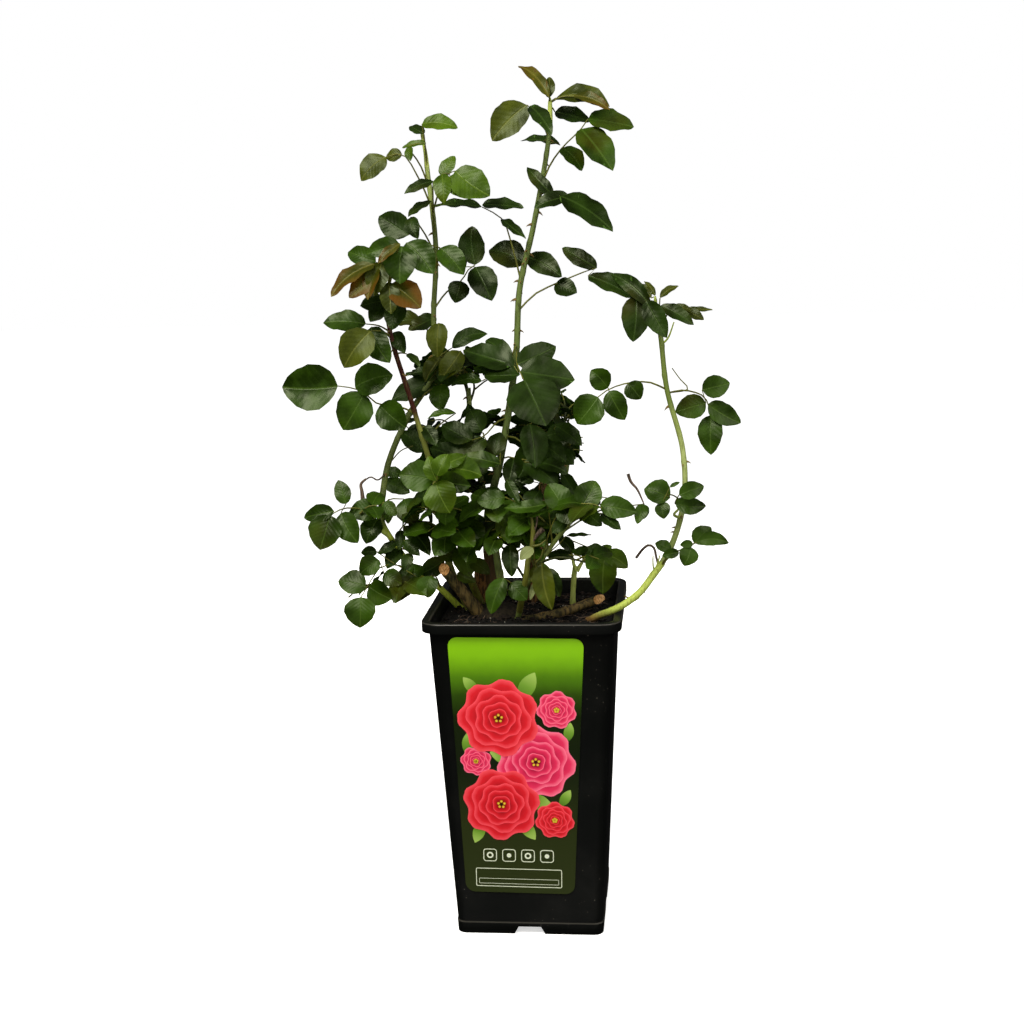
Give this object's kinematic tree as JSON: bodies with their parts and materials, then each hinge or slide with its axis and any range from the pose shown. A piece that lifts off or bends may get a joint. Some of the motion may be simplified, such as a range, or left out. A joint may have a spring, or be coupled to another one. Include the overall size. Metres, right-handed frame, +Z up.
{
  "type": "potted rose bush",
  "caption": "Young garden rose bush with pinnate leaves on upright thorny canes, standing in a deep tapered square plastic nursery pot with a plain front label.",
  "frame": {"origin": "centre of the flat underside of the pot", "axes": "+Z up, -Y towards the side of the pot that carries the label, +X to the right when the label is looked at"},
  "size_m": [0.4342, 0.2966, 0.8069],
  "materials": {
    "pot_plastic": "moulded black polypropylene with a soft sheen",
    "label_card": "printed plastic card, satin",
    "compost": "damp peat compost",
    "green_wood": "smooth young green bark with prickles",
    "bronze_wood": "smooth red-brown young bark with prickles",
    "old_wood": "rough brown old bark",
    "green_leaf": "glossy dark green leaves",
    "bronze_leaf": "young bronze leaves"
  },
  "bodies": {
    "root": {"pot": "pot_plastic", "label": "label_card", "soil": "compost", "cane_tall": "green_wood", "cane_left_low": "green_wood", "cane_left_high": "green_wood", "cane_bronze": "bronze_wood", "cane_right_low": "green_wood", "cane_right_high": "green_wood", "cane_front": "green_wood", "cane_old": "old_wood", "cane_low_left": "old_wood", "cane_back_left": "green_wood", "cane_back_right": "green_wood", "shoot_right": "green_wood", "stub_front_left": "old_wood", "stub_right": "old_wood", "stub_back_left": "old_wood", "root_crown": "old_wood", "spray_tall_tip": "green_leaf", "spray_far_left": "green_leaf", "spray_right_outer": "green_leaf", "spray_right_tip": "green_leaf", "spray_low_left": "green_leaf", "spray_bottom_left": "green_leaf", "spray_left_tip": "green_leaf", "spray_right_lower": "green_leaf", "spray_right_middle": "green_leaf", "spray_right_inner": "green_leaf", "spray_tall_shoulder": "green_leaf", "spray_tall_left": "green_leaf", "spray_tall_right": "green_leaf", "spray_tall_middle": "green_leaf", "spray_left_upper": "green_leaf", "spray_left_middle": "green_leaf", "spray_bronze_top": "bronze_leaf", "spray_bronze_low": "bronze_leaf", "spray_centre_top": "green_leaf", "spray_centre_left": "green_leaf", "spray_front_left": "green_leaf", "spray_right_band": "green_leaf", "spray_right_low": "green_leaf", "spray_front_low": "green_leaf", "spray_dark_left": "green_leaf", "spray_dark_right": "green_leaf", "spray_middle_low": "green_leaf", "spray_centre_low": "green_leaf", "spray_back_left_top": "green_leaf", "spray_back_left_low": "green_leaf", "spray_back_right_top": "green_leaf", "spray_back_right_low": "green_leaf"}
  },
  "joints": []
}
